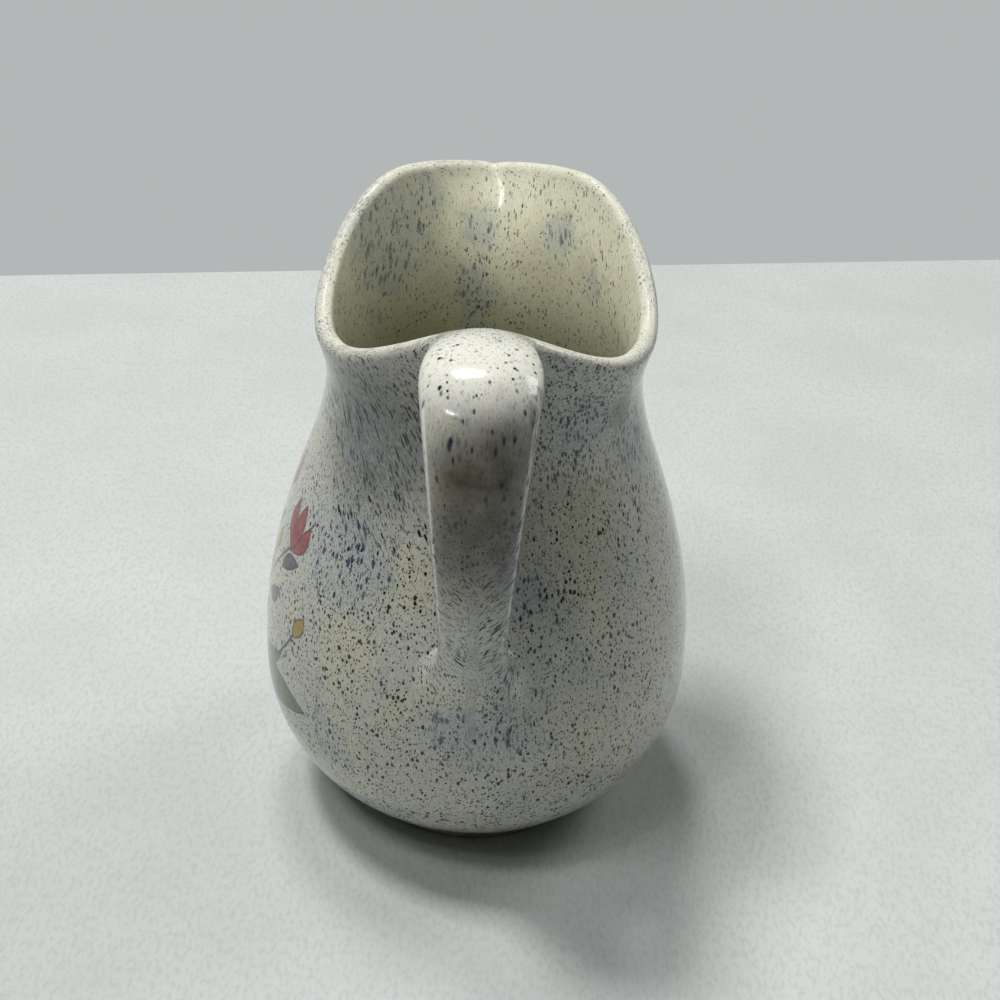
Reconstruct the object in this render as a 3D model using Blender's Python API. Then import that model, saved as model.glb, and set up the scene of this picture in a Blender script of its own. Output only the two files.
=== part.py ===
"""A glazed stoneware pitcher: a round pot with its mouth drawn out into a pouring lip, standing on
a bare foot ring, with a strap handle luted to the rim and to the belly by two pads of slip.

Metres, +Z up. The lip points to +Y and the handle to -Y. The origin is on the table, under the
middle of the whole pitcher.
"""

import math

import bmesh
import bpy
from mathutils import Matrix, Vector

# Body, as it leaves the wheel: radii are of the outer wall, and the belly's height is above the table
FOOT_RADIUS = 0.0330
FOOT_HEIGHT = 0.0030
FOOT_WIDTH = 0.0060
FOOT_EASE = 0.0006
BELLY_RADIUS = 0.0540
BELLY_HEIGHT = 0.0400
NECK_RADIUS = 0.0370
NECK_ABOVE_BELLY = 0.0780
RIM_FLARE = 0.0023
RIM_ABOVE_NECK = 0.0135
WALL = 0.0043
FLOOR_THICKNESS = 0.0052
FLOOR_CORNER_RADIUS = 0.0060

# How full the wall's curves are, as shares of the height or width that each one spans
FOOT_SPREAD = 0.30
FOOT_LIFT = 0.09
BELLY_FULLNESS_BELOW = 0.58
BELLY_FULLNESS_ABOVE = 0.51
NECK_FULLNESS_BELOW = 0.23
NECK_FULLNESS_ABOVE = 0.30
RIM_TURN = 0.36
RIM_LEAN = math.radians(16)

# Mouth: how the soft rim is lifted, drawn out and tucked in, from a little below the neck upwards
SHAPING_BELOW_NECK = 0.0140
LIP_RISE = 0.0215
LIP_REACH = 0.0100
LIP_FLAT_ANGLE = math.radians(34)
LIP_END_ANGLE = math.radians(109)
TIP_REACH = 0.0035
TIP_DIP = 0.0024
TIP_ANGLE = math.radians(20)
BACK_RISE = 0.0106
BACK_TUCK = 0.0022
BACK_START_ANGLE = math.radians(117)
SEAT_RISE = 0.0014
SEAT_ANGLE = math.radians(21)

# Handle: a strap that is widest at its upper bend and tapers down to the belly
HANDLE_BEND_WIDTH = 0.0250
HANDLE_LOW_WIDTH = 0.0140
HANDLE_TOP_THICKNESS = 0.0105
HANDLE_LOW_THICKNESS = 0.0085
STRAP_SQUARENESS = 3.6
UPPER_ROOT_DROP = 0.0170
UPPER_ROOT_WIDTH = 0.0240
UPPER_ROOT_SQUARENESS = 3.4
LOWER_ROOT_ABOVE_BELLY = 0.0250
LOWER_ROOT_LENGTH = 0.0260
LOWER_ROOT_WIDTH = 0.0270
LOWER_ROOT_SQUARENESS = 2.2

# The handle's bow: how far its curve is pulled out and up from the rim, and from the belly
SHOULDER_OUT = 0.0445
SHOULDER_UP = 0.0106
KNEE_OUT = 0.0125
KNEE_UP = 0.0285
KNEE_BELOW_ROOT = 0.0025

# Shares of the bow's length: where it tapers and where its plain strap lies; and how softly its ends flare
TAPER_START = 0.17
TAPER_END = 0.95
TAPER_EASE = 1.5
STRAP_START = 0.14
STRAP_END = 0.77
FLARE_PULL = 0.50
ROOT_PULL = 0.20

# Joints between the pieces
CLEARANCE = 0.0003
SLIP_THICKNESS = 0.0006
FEATHER_EDGE = 0.0006

# Finishes: colour and roughness
GLAZE = ((0.60, 0.58, 0.50), 0.12)
BARE_CLAY = ((0.62, 0.50, 0.37), 0.85)
FIRED_SLIP = ((0.66, 0.60, 0.50), 0.80)

# How finely the round shapes are divided, and the small step that slopes are measured over
TURN_STEPS = 56
STRAP_STEPS = 28
STRAP_RINGS = 18
FLARE_RINGS = 6
PATCH_RINGS = 4
ARC_STEPS = 6
SLOPE_STEP = 1e-4


# Curves and the turned profile


def smooth(value):
    """0 below 0, 1 above 1, and an S-shaped ramp between."""
    value = min(max(value, 0.0), 1.0)
    return value * value * (3 - 2 * value)


def bezier(start, start_pull, end_pull, end, t):
    u = 1 - t
    return start * u**3 + start_pull * 3 * u * u * t + end_pull * 3 * u * t * t + end * t**3


BASE_HEIGHT = FOOT_HEIGHT + CLEARANCE
NECK_HEIGHT = BELLY_HEIGHT + NECK_ABOVE_BELLY
RIM_HEIGHT = NECK_HEIGHT + RIM_ABOVE_NECK
SHAPING_HEIGHT = NECK_HEIGHT - SHAPING_BELOW_NECK
RIM_ALONG = Vector((math.sin(RIM_LEAN), math.cos(RIM_LEAN)))
RIM_OUT = Vector((math.cos(RIM_LEAN), -math.sin(RIM_LEAN)))
COLLAR_HEIGHT = RIM_ABOVE_NECK - WALL / 2 * (1 + math.sin(RIM_LEAN))
FOOT_EDGE = Vector((FOOT_RADIUS, BASE_HEIGHT))
BELLY = Vector((BELLY_RADIUS, BELLY_HEIGHT))
NECK = Vector((NECK_RADIUS, NECK_HEIGHT))
RIM_EDGE = NECK + Vector((RIM_FLARE, COLLAR_HEIGHT))

# Each stretch of the outer wall: where it starts, the two pulls on its curve, and where it ends
WALL_STRETCHES = (
    (
        FOOT_EDGE,
        FOOT_EDGE + Vector((FOOT_SPREAD * (BELLY_RADIUS - FOOT_RADIUS), FOOT_LIFT * BELLY_HEIGHT)),
        BELLY - Vector((0, BELLY_FULLNESS_BELOW * (BELLY_HEIGHT - BASE_HEIGHT))),
        BELLY,
    ),
    (
        BELLY,
        BELLY + Vector((0, BELLY_FULLNESS_ABOVE * NECK_ABOVE_BELLY)),
        NECK - Vector((0, NECK_FULLNESS_BELOW * NECK_ABOVE_BELLY)),
        NECK,
    ),
    (
        NECK,
        NECK + Vector((0, NECK_FULLNESS_ABOVE * COLLAR_HEIGHT)),
        RIM_EDGE - RIM_ALONG * RIM_TURN * COLLAR_HEIGHT,
        RIM_EDGE,
    ),
)
WALL_STRETCH_STEPS = (8, 11, 9)
RIM_START = float(len(WALL_STRETCHES))
RIM_CREST = RIM_START + 0.5 + RIM_LEAN / math.pi


def wall_profile(s):
    """(radius, height) on the outer wall as thrown. s counts the stretches up from the foot, and its
    last unit goes over the round rim to the inner wall."""
    if s >= RIM_START:
        angle = math.pi * (s - RIM_START)
        return RIM_EDGE + (RIM_OUT * (math.cos(angle) - 1) + RIM_ALONG * math.sin(angle)) * (WALL / 2)
    stretch = min(int(s), len(WALL_STRETCHES) - 1)
    return bezier(*WALL_STRETCHES[stretch], s - stretch)


def inner_profile(s):
    """The point of the inner wall that faces wall_profile(s)."""
    above = wall_profile(min(s + SLOPE_STEP, RIM_START - SLOPE_STEP))
    along = above - wall_profile(max(s - SLOPE_STEP, 0.0))
    inward = Vector((-along.y, along.x)).normalized()
    return wall_profile(s) + inward * WALL


def shape_mouth(point):
    """Where a point of the thrown pot ends up once the soft rim has been drawn into its shape."""
    turned = abs(math.atan2(point.x, point.y))
    share = smooth((point.z - SHAPING_HEIGHT) / (RIM_HEIGHT - SHAPING_HEIGHT))
    lip = smooth((LIP_END_ANGLE - turned) / (LIP_END_ANGLE - LIP_FLAT_ANGLE))
    front = smooth(1 - turned / LIP_END_ANGLE)
    tip = math.exp(-((turned / TIP_ANGLE) ** 2))
    back = smooth((turned - BACK_START_ANGLE) / (math.pi - BACK_START_ANGLE))
    seat = math.exp(-(((math.pi - turned) / SEAT_ANGLE) ** 2))
    lift = LIP_RISE * lip + BACK_RISE * back + SEAT_RISE * seat - TIP_DIP * tip
    push = LIP_REACH * front + TIP_REACH * tip + BACK_TUCK * back
    return point + Vector((0, share * share * push, share * lift))


def wall_point(s, angle):
    """A point of the finished outer surface. The angle is taken from the lip, round to +X."""
    radius, height = wall_profile(s)
    return shape_mouth(Vector((radius * math.sin(angle), radius * math.cos(angle), height)))


def wall_normal(s, angle):
    up = wall_point(s + SLOPE_STEP, angle) - wall_point(s - SLOPE_STEP, angle)
    along = wall_point(s, angle + SLOPE_STEP) - wall_point(s, angle - SLOPE_STEP)
    return up.cross(along).normalized()


def stretch_at(height, profile=wall_profile):
    """The s at which the thrown pot's outer wall, or another profile of it, reaches a height."""
    low, high = 0.0, RIM_START
    for _ in range(40):
        middle = (low + high) / 2
        if profile(middle).y < height:
            low = middle
        else:
            high = middle
    return (low + high) / 2


# Scene, materials and mesh helpers


def clear_scene():
    for old in list(bpy.data.objects):
        bpy.data.objects.remove(old, do_unlink=True)


def clay_material(name, finish):
    colour, roughness = finish
    material = bpy.data.materials.new(name)
    material.use_nodes = True
    shader = material.node_tree.nodes["Principled BSDF"]
    shader.inputs["Base Color"].default_value = (*colour, 1.0)
    shader.inputs["Roughness"].default_value = roughness
    shader.inputs["Metallic"].default_value = 0.0
    return material


def add_piece(name, mesh_data, finish, parent):
    """Makes a named object with its own material from a bmesh, with its faces pointing out."""
    bmesh.ops.recalc_face_normals(mesh_data, faces=mesh_data.faces[:])
    mesh = bpy.data.meshes.new(name)
    mesh_data.to_mesh(mesh)
    mesh_data.free()
    mesh.shade_smooth()
    mesh.set_sharp_from_angle(angle=math.radians(40))
    mesh.materials.append(clay_material(name, finish))
    piece = bpy.data.objects.new(name, mesh)
    piece.parent = parent
    bpy.context.collection.objects.link(piece)
    return piece


def turned_solid(profile, seam_merge=1e-6):
    """Spins a (radius, height) outline once round the pot's axis."""
    solid = bmesh.new()
    points = [solid.verts.new((radius, 0, height)) for radius, height in profile]
    edges = [solid.edges.new(pair) for pair in zip(points, points[1:])]
    bmesh.ops.spin(
        solid,
        geom=points + edges,
        cent=(0, 0, 0),
        axis=(0, 0, 1),
        angle=math.tau,
        steps=TURN_STEPS,
        use_merge=True,
    )
    bmesh.ops.remove_doubles(solid, verts=solid.verts[:], dist=seam_merge)
    return solid


def lofted_solid(first_centre, rings, last_centre):
    """Skins a row of point rings, and closes each end on a centre point."""
    solid = bmesh.new()
    loops = [[solid.verts.new(point) for point in ring] for ring in rings]
    count = len(loops[0])
    for near, far in zip(loops, loops[1:]):
        for i in range(count):
            j = (i + 1) % count
            solid.faces.new((near[i], near[j], far[j], far[i]))
    for centre, ring in ((first_centre, loops[0]), (last_centre, loops[-1])):
        middle = solid.verts.new(centre)
        for i in range(count):
            solid.faces.new((middle, ring[i], ring[(i + 1) % count]))
    return solid


# Body and foot ring


def body_outline():
    """The closed outline of the thrown pot: under the base, up the wall, over the rim and down inside."""
    floor = BASE_HEIGHT + FLOOR_THICKNESS
    wall_steps = [
        stretch + i / steps for stretch, steps in enumerate(WALL_STRETCH_STEPS) for i in range(steps)
    ]
    base = [Vector((0, BASE_HEIGHT)), Vector((FOOT_RADIUS - FOOT_WIDTH, BASE_HEIGHT))]
    outside = [wall_profile(s) for s in wall_steps]
    rim = [wall_profile(RIM_START + i / ARC_STEPS) for i in range(ARC_STEPS + 1)]
    lowest = stretch_at(floor + FLOOR_CORNER_RADIUS, inner_profile)
    inside = [inner_profile(s) for s in reversed(wall_steps) if s > lowest]
    corner_top = inner_profile(lowest)
    corner_end = Vector((corner_top.x - FLOOR_CORNER_RADIUS, floor))
    corner_pull = Vector((corner_end.x + FLOOR_CORNER_RADIUS / 2, floor))
    corner_steps = [i / ARC_STEPS for i in range(ARC_STEPS + 1)]
    corner = [bezier(corner_top, corner_pull, corner_pull, corner_end, t) for t in corner_steps]
    return base + outside + rim + inside + corner + [Vector((0, floor))]


def build_body(parent):
    pot = turned_solid(body_outline())
    for vertex in pot.verts:
        vertex.co = shape_mouth(vertex.co)
    return add_piece("jug_body", pot, GLAZE, parent)


def build_foot_ring(parent):
    """The bare ring that the pitcher stands on, with its standing face flat and its edges eased."""
    inner = FOOT_RADIUS - FOOT_WIDTH
    outline = [
        Vector((inner, FOOT_HEIGHT)),
        Vector((inner, FOOT_EASE)),
        Vector((inner + FOOT_EASE, 0)),
        Vector((FOOT_RADIUS - FOOT_EASE, 0)),
        Vector((FOOT_RADIUS, FOOT_EASE)),
        Vector((FOOT_RADIUS, FOOT_HEIGHT)),
        Vector((inner, FOOT_HEIGHT)),
    ]
    return add_piece("foot_ring", turned_solid(outline), BARE_CLAY, parent)


# Handle and its two slip joints


def squared(around, squareness):
    """A point of a unit ring that is squarer than a circle."""
    across, through = math.cos(around), math.sin(around)
    across = math.copysign(abs(across) ** (2 / squareness), across)
    return across, math.copysign(abs(through) ** (2 / squareness), through)


class Root:
    """The patch of the outer wall that one end of the handle is luted to."""

    def __init__(self, low, high, width, squareness, outer_side_up):
        self.middle = (low + high) / 2
        self.half = (high - low) / 2
        self.width = width
        self.squareness = squareness
        self.sense = 1 if outer_side_up else -1

    def place(self, around, share):
        across, through = squared(around, self.squareness)
        s = self.middle + self.half * share * self.sense * through
        angle = math.pi - share * self.width / 2 * across / wall_profile(s).x
        return s, angle

    def point(self, around, share, lift):
        s, angle = self.place(around, share)
        return wall_point(s, angle) + wall_normal(s, angle) * lift

    def outward(self, around):
        """The way across the wall, out of the patch, at its edge."""
        return (self.point(around, 1.0, 0) - self.point(around, 0.98, 0)).normalized()

    def ring(self, share, lift):
        return [self.point(around, share, lift) for around in ring_angles()]


def ring_angles():
    return [math.tau * i / STRAP_STEPS for i in range(STRAP_STEPS)]


def handle_roots():
    """The handle's seats: on the lifted back of the rim, up to its crest, and above the belly."""
    back_underside = wall_point(RIM_CREST, math.pi).z - UPPER_ROOT_DROP
    underside = stretch_at(back_underside, lambda s: wall_point(s, math.pi).yz)
    upper = Root(underside, RIM_CREST, UPPER_ROOT_WIDTH, UPPER_ROOT_SQUARENESS, True)
    lower_middle = BELLY_HEIGHT + LOWER_ROOT_ABOVE_BELLY
    lower = Root(
        stretch_at(lower_middle - LOWER_ROOT_LENGTH / 2),
        stretch_at(lower_middle + LOWER_ROOT_LENGTH / 2),
        LOWER_ROOT_WIDTH,
        LOWER_ROOT_SQUARENESS,
        False,
    )
    return upper, lower


class Strap:
    """The free run of the handle between its two roots: a bow in the YZ plane that tapers downwards."""

    def __init__(self):
        rim_back = wall_point(RIM_CREST, math.pi)
        self.start = rim_back - Vector((0, 0, HANDLE_TOP_THICKNESS / 2))
        end_height = BELLY_HEIGHT + LOWER_ROOT_ABOVE_BELLY - KNEE_BELOW_ROOT
        self.end = wall_point(stretch_at(end_height), math.pi)
        self.start_pull = self.start + Vector((0, -SHOULDER_OUT, SHOULDER_UP))
        self.end_pull = self.end + Vector((0, -KNEE_OUT, KNEE_UP))

    def centre(self, t):
        return bezier(self.start, self.start_pull, self.end_pull, self.end, t)

    def heading(self, t):
        return (self.centre(t + SLOPE_STEP) - self.centre(t - SLOPE_STEP)).normalized()

    def ring(self, t):
        heading = self.heading(t)
        out = Vector((0, heading.z, -heading.y))
        left = min(max((TAPER_END - t) / (TAPER_END - TAPER_START), 0.0), 1.0)
        width = HANDLE_LOW_WIDTH + (HANDLE_BEND_WIDTH - HANDLE_LOW_WIDTH) * left**TAPER_EASE
        thickness = HANDLE_TOP_THICKNESS + (HANDLE_LOW_THICKNESS - HANDLE_TOP_THICKNESS) * t
        points = []
        for around in ring_angles():
            across, through = squared(around, STRAP_SQUARENESS)
            side = Vector((across * width / 2, 0, 0))
            points.append(self.centre(t) + side + out * (through * thickness / 2))
        return points


def flare(root, strap_ring, heading, lift):
    """Rings that spread one end of the strap out on to the wall, from the strap to the patch's edge."""
    edge = root.ring(1.0, lift)
    rings = []
    for step in range(1, FLARE_RINGS + 1):
        t = step / FLARE_RINGS
        ring = []
        for around, start, end in zip(ring_angles(), strap_ring, edge):
            reach = (end - start).length
            start_pull = start + heading * (FLARE_PULL * reach)
            end_pull = end - root.outward(around) * (ROOT_PULL * reach)
            ring.append(bezier(start, start_pull, end_pull, end, t))
        rings.append(ring)
    return rings


def patch_rings(root, lift):
    """Rings on the wall from the patch's edge in towards its middle."""
    return [root.ring(1 - i / PATCH_RINGS, lift) for i in range(PATCH_RINGS)]


def build_handle(upper, lower, parent):
    strap = Strap()
    seat = 2 * CLEARANCE + SLIP_THICKNESS
    step = (STRAP_END - STRAP_START) / STRAP_RINGS
    run = [strap.ring(STRAP_START + step * i) for i in range(STRAP_RINGS + 1)]
    top_flare = flare(upper, run[0], -strap.heading(STRAP_START), seat + FEATHER_EDGE)
    low_flare = flare(lower, run[-1], strap.heading(STRAP_END), seat + FEATHER_EDGE)
    rings = patch_rings(upper, seat)[::-1] + top_flare[::-1] + run + low_flare + patch_rings(lower, seat)
    solid = lofted_solid(upper.point(0, 0, seat), rings, lower.point(0, 0, seat))
    return add_piece("handle", solid, GLAZE, parent)


def build_slip_joint(name, root, parent):
    """The pad of slip that glues one end of the handle to the wall."""
    under = patch_rings(root, CLEARANCE)
    over = patch_rings(root, CLEARANCE + SLIP_THICKNESS)
    solid = lofted_solid(
        root.point(0, 0, CLEARANCE),
        under[::-1] + over,
        root.point(0, 0, CLEARANCE + SLIP_THICKNESS),
    )
    return add_piece(name, solid, FIRED_SLIP, parent)


# Assembly


def centre_on_table(frame, pieces):
    """Moves the frame so that the origin is under the middle of the whole pitcher."""
    corners = [vertex.co for piece in pieces for vertex in piece.data.vertices]
    middle = (min(point.y for point in corners) + max(point.y for point in corners)) / 2
    frame.matrix_world = Matrix.Translation((0, -middle, 0))


def build_pitcher():
    clear_scene()
    frame = bpy.data.objects.new("pitcher_axis", None)
    bpy.context.collection.objects.link(frame)
    upper, lower = handle_roots()
    pieces = [
        build_body(frame),
        build_foot_ring(frame),
        build_handle(upper, lower, frame),
        build_slip_joint("upper_slip_joint", upper, frame),
        build_slip_joint("lower_slip_joint", lower, frame),
    ]
    centre_on_table(frame, pieces)


build_pitcher()
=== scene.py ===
import math

import bmesh
import bpy
from mathutils import Matrix, Vector


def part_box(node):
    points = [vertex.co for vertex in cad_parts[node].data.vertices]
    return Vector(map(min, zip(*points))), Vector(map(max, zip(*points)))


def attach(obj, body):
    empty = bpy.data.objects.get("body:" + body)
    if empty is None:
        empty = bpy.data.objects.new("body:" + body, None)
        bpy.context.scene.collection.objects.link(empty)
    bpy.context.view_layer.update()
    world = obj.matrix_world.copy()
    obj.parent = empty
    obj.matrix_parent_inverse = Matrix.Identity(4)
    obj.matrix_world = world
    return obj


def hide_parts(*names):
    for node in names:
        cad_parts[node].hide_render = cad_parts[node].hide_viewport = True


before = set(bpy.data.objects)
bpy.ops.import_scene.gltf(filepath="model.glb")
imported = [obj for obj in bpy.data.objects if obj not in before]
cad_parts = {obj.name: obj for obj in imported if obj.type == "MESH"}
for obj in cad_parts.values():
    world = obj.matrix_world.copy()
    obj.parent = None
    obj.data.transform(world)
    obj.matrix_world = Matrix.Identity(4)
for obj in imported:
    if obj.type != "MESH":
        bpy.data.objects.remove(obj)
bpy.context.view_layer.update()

# The pot: one thrown stoneware body, pear-shaped, with a rounded rim. While soft, its mouth was drawn up
# into a broad pouring lip in front and lifted behind for the handle. A node tree turns it here from
# the outline of its wall and then shapes the mouth.

foot_low, foot_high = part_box("foot_ring")
AXIS = Vector((0, (foot_low.y + foot_high.y) / 2, 0))
BASE_HEIGHT = 0.0033
FOOT_EDGE = Vector((0.033, BASE_HEIGHT))
BELLY = Vector((0.054, 0.040))
NECK = Vector((0.037, 0.118))
RIM_HEIGHT = 0.1315
WALL = 0.0043
RIM_LEAN = math.radians(16)
RIM_EDGE = Vector((0.0393, RIM_HEIGHT - WALL / 2 * (1 + math.sin(RIM_LEAN))))
RIM_ALONG = Vector((math.sin(RIM_LEAN), math.cos(RIM_LEAN)))
RIM_OUT = Vector((math.cos(RIM_LEAN), -math.sin(RIM_LEAN)))
FLOOR_HEIGHT = BASE_HEIGHT + 0.0052
FLOOR_CORNER = 0.006
INSIDE_BLEND = 0.006
CREST_WIDTH = 0.0045
CREST_END = math.radians(146)
CREST_GONE = math.radians(164)
STEPS_AROUND = 300
STRETCH_ROWS = (36, 62, 14)
RIM_ROWS = 18
FLAT_ROWS = 10
MERGE_DISTANCE = 0.00001
STEP = 1e-4
COLLAR = RIM_EDGE.y - NECK.y
WALL_STRETCHES = (
    (FOOT_EDGE, FOOT_EDGE + Vector((0.0063, 0.0036)), BELLY - Vector((0, 0.0213)), BELLY),
    (BELLY, BELLY + Vector((0, 0.0398)), NECK - Vector((0, 0.0179)), NECK),
    (NECK, NECK + Vector((0, 0.30 * COLLAR)), RIM_EDGE - RIM_ALONG * 0.36 * COLLAR, RIM_EDGE),
)
RIM_START = len(WALL_STRETCHES)
RIM_CREST = RIM_START + 0.5 + RIM_LEAN / math.pi
MOUTH = {
    "Shaped From": 0.104,
    "Shaped To": RIM_HEIGHT,
    "Lip Rise": 0.0215,
    "Lip Reach": 0.010,
    "Lip Flat": math.radians(34),
    "Lip End": math.radians(109),
    "Tip Reach": 0.0035,
    "Tip Dip": 0.0024,
    "Tip Angle": math.radians(20),
    "Notch Dip": 0.0006,
    "Notch Angle": math.radians(3.0),
    "Back Rise": 0.0106,
    "Back Tuck": 0.0022,
    "Back Start": math.radians(117),
    "Seat Rise": 0.0014,
    "Seat Angle": math.radians(21),
}
TIP_SHARPNESS = 4
NOTCH_SHARPNESS = 24


def ramp(value, low, high):
    """0 at low, 1 at high, straight between them and level beyond."""
    return min(max((value - low) / (high - low), 0.0), 1.0)


def smooth_ramp(value, low, high):
    t = ramp(value, low, high)
    return t * t * (3 - 2 * t)


def bezier(start, start_pull, end_pull, end, t):
    u = 1 - t
    return start * u**3 + start_pull * (3 * u * u * t) + end_pull * (3 * u * t * t) + end * t**3


def wall_outline(s):
    """(radius, height) of the outer wall. s counts its stretches up from the foot, then over the rim."""
    if s >= RIM_START:
        angle = math.pi * (s - RIM_START)
        return RIM_EDGE + (RIM_OUT * (math.cos(angle) - 1) + RIM_ALONG * math.sin(angle)) * (WALL / 2)
    stretch = min(int(s), RIM_START - 1)
    return bezier(*WALL_STRETCHES[stretch], s - stretch)


def inner_outline(s):
    """The point of the inner wall behind wall_outline(s)."""
    along = wall_outline(min(s + STEP, RIM_START - STEP)) - wall_outline(max(s - STEP, 0.0))
    return wall_outline(s) + Vector((-along.y, along.x)).normalized() * WALL


def spread(low, high, steps):
    """Even steps from low up to high, which is left out."""
    return [low + (high - low) * i / steps for i in range(steps)]


outer_steps = []
for stretch, rows in enumerate(STRETCH_ROWS):
    outer_steps += spread(stretch, stretch + 1, rows)
outline = [Vector((radius, BASE_HEIGHT)) for radius in spread(0.0, FOOT_EDGE.x, FLAT_ROWS)]
outline += [wall_outline(s) for s in outer_steps]
crest_row = len(outline) + round(RIM_ROWS * (RIM_CREST - RIM_START))
outline += [wall_outline(s) for s in spread(RIM_START, RIM_START + 1, RIM_ROWS)]
inner = [inner_outline(s) for s in reversed(outer_steps + [RIM_START - STEP])]
outline += [point for point in inner if point.y > FLOOR_HEIGHT + FLOOR_CORNER]
corner_top = outline[-1]
corner_end = Vector((corner_top.x - 1.6 * FLOOR_CORNER, FLOOR_HEIGHT))
corner_pull = Vector((corner_end.x + 0.7 * FLOOR_CORNER, FLOOR_HEIGHT))
corner_fall = corner_top + (corner_top - outline[-2]).normalized() * 0.5 * FLOOR_CORNER
shares = [i / FLAT_ROWS for i in range(1, FLAT_ROWS + 1)]
outline += [bezier(corner_top, corner_fall, corner_pull, corner_end, share) for share in shares]
outline += [Vector((corner_end.x * (1 - share), FLOOR_HEIGHT)) for share in shares]

run_length = [0.0]
for below, above in zip(outline, outline[1:]):
    run_length.append(run_length[-1] + (above - below).length)
outline_mesh = bpy.data.meshes.new("pot_outline")
outline_edges = [(i, i + 1) for i in range(len(outline) - 1)]
outline_mesh.from_pydata([(p.x, 0, p.y) for p in outline], outline_edges, [])
inside_mark = outline_mesh.attributes.new("inside", "FLOAT", "POINT")
crest_mark = outline_mesh.attributes.new("crest", "FLOAT", "POINT")
for row in range(len(outline)):
    past_crest = run_length[row] - run_length[crest_row]
    inside_mark.data[row].value = ramp(past_crest, -INSIDE_BLEND / 2, INSIDE_BLEND / 2)
    crest_mark.data[row].value = math.exp(-((past_crest / CREST_WIDTH) ** 2))


def feed(node, sockets):
    """Set a node's inputs, or link them where a strand is given."""
    for name, value in sockets.items():
        if isinstance(value, Strand):
            value.tree.links.new(value.socket, node.inputs[name])
        else:
            node.inputs[name].default_value = value


class Strand:
    """A socket of a node tree. Sums written on it add Math nodes, and add() makes any other node."""

    def __init__(self, tree, socket=None):
        self.tree = tree
        self.socket = socket

    def add(self, kind, settings=None, sockets=None, out=0):
        """A node of this kind. Its settings are set first, then its sockets' values or links."""
        node = self.tree.nodes.new(kind)
        for name, value in (settings or {}).items():
            setattr(node, name, value)
        feed(node, sockets or {})
        return Strand(self.tree, node.outputs[out] if node.outputs else None)

    def out(self, name):
        return Strand(self.tree, self.socket.node.outputs[name])

    def math(self, operation, *others):
        """A Math node on this value and any others, in that order."""
        return self.add("ShaderNodeMath", {"operation": operation}, dict(enumerate((self, *others))))

    def vector(self, operation, *others, out=0):
        """A Vector Math node on this vector and any others, in that order."""
        values = dict(enumerate((self, *others)))
        return self.add("ShaderNodeVectorMath", {"operation": operation}, values, out)

    def ease(self, low, high):
        """0 at low, 1 at high, smooth between them."""
        settings = {"interpolation_type": "SMOOTHSTEP"}
        return self.add("ShaderNodeMapRange", settings, {0: self, 1: low, 2: high})

    def __add__(self, other):
        return self.math("ADD", other)

    __radd__ = __add__

    def __sub__(self, other):
        return self.math("SUBTRACT", other)

    def __rsub__(self, other):
        return self.add("ShaderNodeMath", {"operation": "SUBTRACT"}, {0: other, 1: self})

    def __mul__(self, other):
        return self.math("MULTIPLY", other)

    __rmul__ = __mul__

    def __truediv__(self, other):
        return self.math("DIVIDE", other)

    def __rtruediv__(self, other):
        return self.add("ShaderNodeMath", {"operation": "DIVIDE"}, {0: other, 1: self})

    def __pow__(self, other):
        return self.math("POWER", other)

    def __neg__(self):
        return self * -1

    def __abs__(self):
        return self.math("ABSOLUTE")


def bell(strand):
    """1 where the strand is 0, falling away smoothly on both sides."""
    return (strand * strand * -1).math("EXPONENT")


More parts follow.
